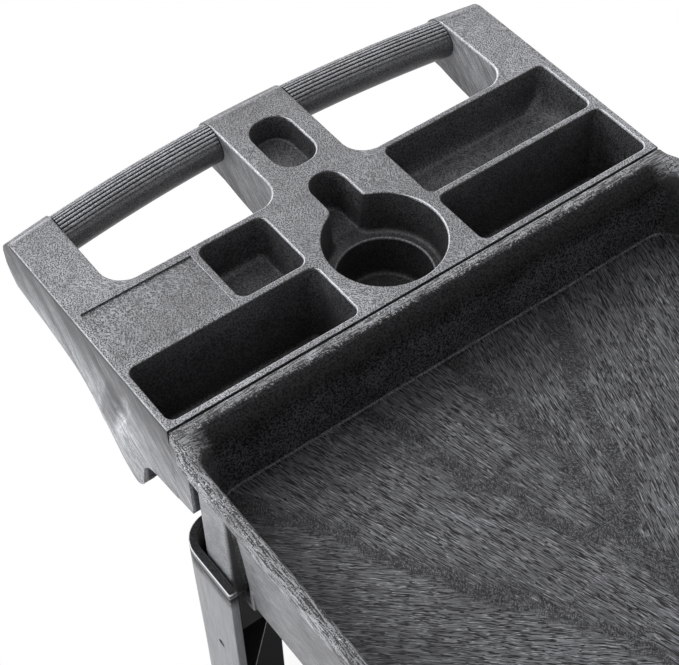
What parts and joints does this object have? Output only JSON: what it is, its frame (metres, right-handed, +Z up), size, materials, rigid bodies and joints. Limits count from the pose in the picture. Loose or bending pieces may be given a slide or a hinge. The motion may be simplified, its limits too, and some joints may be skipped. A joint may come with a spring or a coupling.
{
  "type": "utility cart",
  "caption": "Two-tray plastic utility cart with a handle console holding bins, a cup holder and fluted grips, on corner legs with swivel and fixed casters.",
  "frame": {"origin": "on the floor, below the middle of the cart's box", "axes": "+X along the cart away from the handle, +Z up, -Y is the cart's side with the small pocket"},
  "size_m": [0.995, 0.454, 0.845],
  "materials": {
    "handle_console": "grained structural foam, streaked",
    "grip_left": "fluted matt grip",
    "grip_right": "fluted matt grip",
    "upper_shelf": "grained structural foam, streaked",
    "lower_shelf": "grained structural foam, streaked",
    "leg_rear_left": "grained structural foam, streaked",
    "leg_rear_right": "grained structural foam, streaked",
    "leg_front_left": "grained structural foam, streaked",
    "leg_front_right": "grained structural foam, streaked",
    "leg_screw_upper_rear_left": "zinc plated",
    "leg_screw_upper_rear_right": "zinc plated",
    "leg_screw_upper_front_left": "zinc plated",
    "leg_screw_upper_front_right": "zinc plated",
    "leg_screw_lower_rear_left": "zinc plated",
    "leg_screw_lower_rear_right": "zinc plated",
    "leg_screw_lower_front_left": "zinc plated",
    "leg_screw_lower_front_right": "zinc plated",
    "console_screw_left": "zinc plated",
    "console_screw_right": "zinc plated",
    "caster_rear_left_top_plate": "zinc plated",
    "caster_rear_left_kingpin": "zinc plated",
    "caster_rear_left_fork": "zinc plated",
    "caster_rear_left_hub": "moulded, satin",
    "caster_rear_left_tyre": "matt black rubber tread",
    "caster_rear_left_axle_bolt": "zinc plated",
    "caster_rear_left_axle_nut": "zinc plated",
    "caster_rear_left_plate_bolt_1": "zinc plated",
    "caster_rear_left_plate_bolt_2": "zinc plated",
    "caster_rear_left_plate_bolt_3": "zinc plated",
    "caster_rear_left_plate_bolt_4": "zinc plated",
    "caster_rear_right_top_plate": "zinc plated",
    "caster_rear_right_kingpin": "zinc plated",
    "caster_rear_right_fork": "zinc plated",
    "caster_rear_right_hub": "moulded, satin",
    "caster_rear_right_tyre": "matt black rubber tread",
    "caster_rear_right_axle_bolt": "zinc plated",
    "caster_rear_right_axle_nut": "zinc plated",
    "caster_rear_right_plate_bolt_1": "zinc plated",
    "caster_rear_right_plate_bolt_2": "zinc plated",
    "caster_rear_right_plate_bolt_3": "zinc plated",
    "caster_rear_right_plate_bolt_4": "zinc plated",
    "caster_front_left_fork": "zinc plated",
    "caster_front_left_hub": "moulded, satin",
    "caster_front_left_tyre": "matt black rubber tread",
    "caster_front_left_axle_bolt": "zinc plated",
    "caster_front_left_axle_nut": "zinc plated",
    "caster_front_left_plate_bolt_1": "zinc plated",
    "caster_front_left_plate_bolt_2": "zinc plated",
    "caster_front_left_plate_bolt_3": "zinc plated",
    "caster_front_left_plate_bolt_4": "zinc plated",
    "caster_front_right_fork": "zinc plated",
    "caster_front_right_hub": "moulded, satin",
    "caster_front_right_tyre": "matt black rubber tread",
    "caster_front_right_axle_bolt": "zinc plated",
    "caster_front_right_axle_nut": "zinc plated",
    "caster_front_right_plate_bolt_1": "zinc plated",
    "caster_front_right_plate_bolt_2": "zinc plated",
    "caster_front_right_plate_bolt_3": "zinc plated",
    "caster_front_right_plate_bolt_4": "zinc plated"
  },
  "bodies": {
    "cart": {"handle_console": "handle_console", "grip_left": "grip_left", "grip_right": "grip_right", "upper_shelf": "upper_shelf", "lower_shelf": "lower_shelf", "leg_rear_left": "leg_rear_left", "leg_rear_right": "leg_rear_right", "leg_front_left": "leg_front_left", "leg_front_right": "leg_front_right", "leg_screw_upper_rear_left": "leg_screw_upper_rear_left", "leg_screw_upper_rear_right": "leg_screw_upper_rear_right", "leg_screw_upper_front_left": "leg_screw_upper_front_left", "leg_screw_upper_front_right": "leg_screw_upper_front_right", "leg_screw_lower_rear_left": "leg_screw_lower_rear_left", "leg_screw_lower_rear_right": "leg_screw_lower_rear_right", "leg_screw_lower_front_left": "leg_screw_lower_front_left", "leg_screw_lower_front_right": "leg_screw_lower_front_right", "console_screw_left": "console_screw_left", "console_screw_right": "console_screw_right", "caster_rear_left_top_plate": "caster_rear_left_top_plate", "caster_rear_left_kingpin": "caster_rear_left_kingpin", "caster_rear_left_plate_bolt_1": "caster_rear_left_plate_bolt_1", "caster_rear_left_plate_bolt_2": "caster_rear_left_plate_bolt_2", "caster_rear_left_plate_bolt_3": "caster_rear_left_plate_bolt_3", "caster_rear_left_plate_bolt_4": "caster_rear_left_plate_bolt_4", "caster_rear_right_top_plate": "caster_rear_right_top_plate", "caster_rear_right_kingpin": "caster_rear_right_kingpin", "caster_rear_right_plate_bolt_1": "caster_rear_right_plate_bolt_1", "caster_rear_right_plate_bolt_2": "caster_rear_right_plate_bolt_2", "caster_rear_right_plate_bolt_3": "caster_rear_right_plate_bolt_3", "caster_rear_right_plate_bolt_4": "caster_rear_right_plate_bolt_4", "caster_front_left_fork": "caster_front_left_fork", "caster_front_left_axle_bolt": "caster_front_left_axle_bolt", "caster_front_left_axle_nut": "caster_front_left_axle_nut", "caster_front_left_plate_bolt_1": "caster_front_left_plate_bolt_1", "caster_front_left_plate_bolt_2": "caster_front_left_plate_bolt_2", "caster_front_left_plate_bolt_3": "caster_front_left_plate_bolt_3", "caster_front_left_plate_bolt_4": "caster_front_left_plate_bolt_4", "caster_front_right_fork": "caster_front_right_fork", "caster_front_right_axle_bolt": "caster_front_right_axle_bolt", "caster_front_right_axle_nut": "caster_front_right_axle_nut", "caster_front_right_plate_bolt_1": "caster_front_right_plate_bolt_1", "caster_front_right_plate_bolt_2": "caster_front_right_plate_bolt_2", "caster_front_right_plate_bolt_3": "caster_front_right_plate_bolt_3", "caster_front_right_plate_bolt_4": "caster_front_right_plate_bolt_4"},
    "rear_left_swivel": {"caster_rear_left_fork": "caster_rear_left_fork", "caster_rear_left_axle_bolt": "caster_rear_left_axle_bolt", "caster_rear_left_axle_nut": "caster_rear_left_axle_nut"},
    "rear_left_wheel": {"caster_rear_left_hub": "caster_rear_left_hub", "caster_rear_left_tyre": "caster_rear_left_tyre"},
    "rear_right_swivel": {"caster_rear_right_fork": "caster_rear_right_fork", "caster_rear_right_axle_bolt": "caster_rear_right_axle_bolt", "caster_rear_right_axle_nut": "caster_rear_right_axle_nut"},
    "rear_right_wheel": {"caster_rear_right_hub": "caster_rear_right_hub", "caster_rear_right_tyre": "caster_rear_right_tyre"},
    "front_left_wheel": {"caster_front_left_hub": "caster_front_left_hub", "caster_front_left_tyre": "caster_front_left_tyre"},
    "front_right_wheel": {"caster_front_right_hub": "caster_front_right_hub", "caster_front_right_tyre": "caster_front_right_tyre"}
  },
  "joints": [
    {"name": "rear_left_swivel_turn", "type": "hinge", "parent": "cart", "child": "rear_left_swivel", "pos_m": [-0.1645, -0.14, 0.1465], "axis": [0, 0, 1], "continuous": true},
    {"name": "rear_left_wheel_spin", "type": "hinge", "parent": "rear_left_swivel", "child": "rear_left_wheel", "pos_m": [-0.2025, -0.14, 0.0635], "axis": [0, 1, 0], "continuous": true},
    {"name": "rear_right_swivel_turn", "type": "hinge", "parent": "cart", "child": "rear_right_swivel", "pos_m": [-0.1645, 0.14, 0.1465], "axis": [0, 0, 1], "continuous": true},
    {"name": "rear_right_wheel_spin", "type": "hinge", "parent": "rear_right_swivel", "child": "rear_right_wheel", "pos_m": [-0.2025, 0.14, 0.0635], "axis": [0, 1, 0], "continuous": true},
    {"name": "front_left_wheel_spin", "type": "hinge", "parent": "cart", "child": "front_left_wheel", "pos_m": [0.4125, -0.14, 0.0635], "axis": [0, 1, 0], "continuous": true},
    {"name": "front_right_wheel_spin", "type": "hinge", "parent": "cart", "child": "front_right_wheel", "pos_m": [0.4125, 0.14, 0.0635], "axis": [0, 1, 0], "continuous": true}
  ]
}
